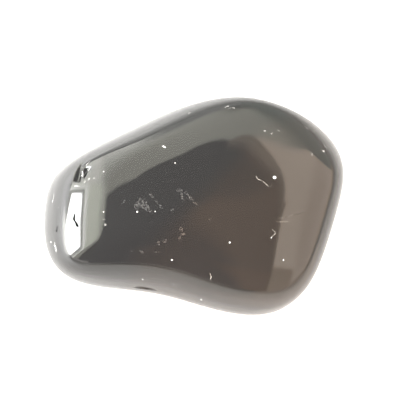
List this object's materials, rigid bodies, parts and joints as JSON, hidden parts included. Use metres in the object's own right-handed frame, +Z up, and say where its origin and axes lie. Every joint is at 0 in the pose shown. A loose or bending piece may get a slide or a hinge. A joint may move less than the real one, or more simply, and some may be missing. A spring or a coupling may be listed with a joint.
{
  "type": "smoky quartz stone",
  "caption": "Tumbled and polished smoky quartz pebble, broad at one end and narrow at the other, with a slight waist.",
  "frame": {"origin": "on the resting plane, below the middle of the bounding box", "axes": "+X along the stone from its narrow end to its broad end, +Y to its far side, +Z up from the resting facet"},
  "size_m": [0.0302, 0.0214, 0.0137],
  "materials": {
    "smoky_quartz": "polished"
  },
  "bodies": {
    "root": {"smoky_quartz_stone": "smoky_quartz"}
  },
  "joints": []
}
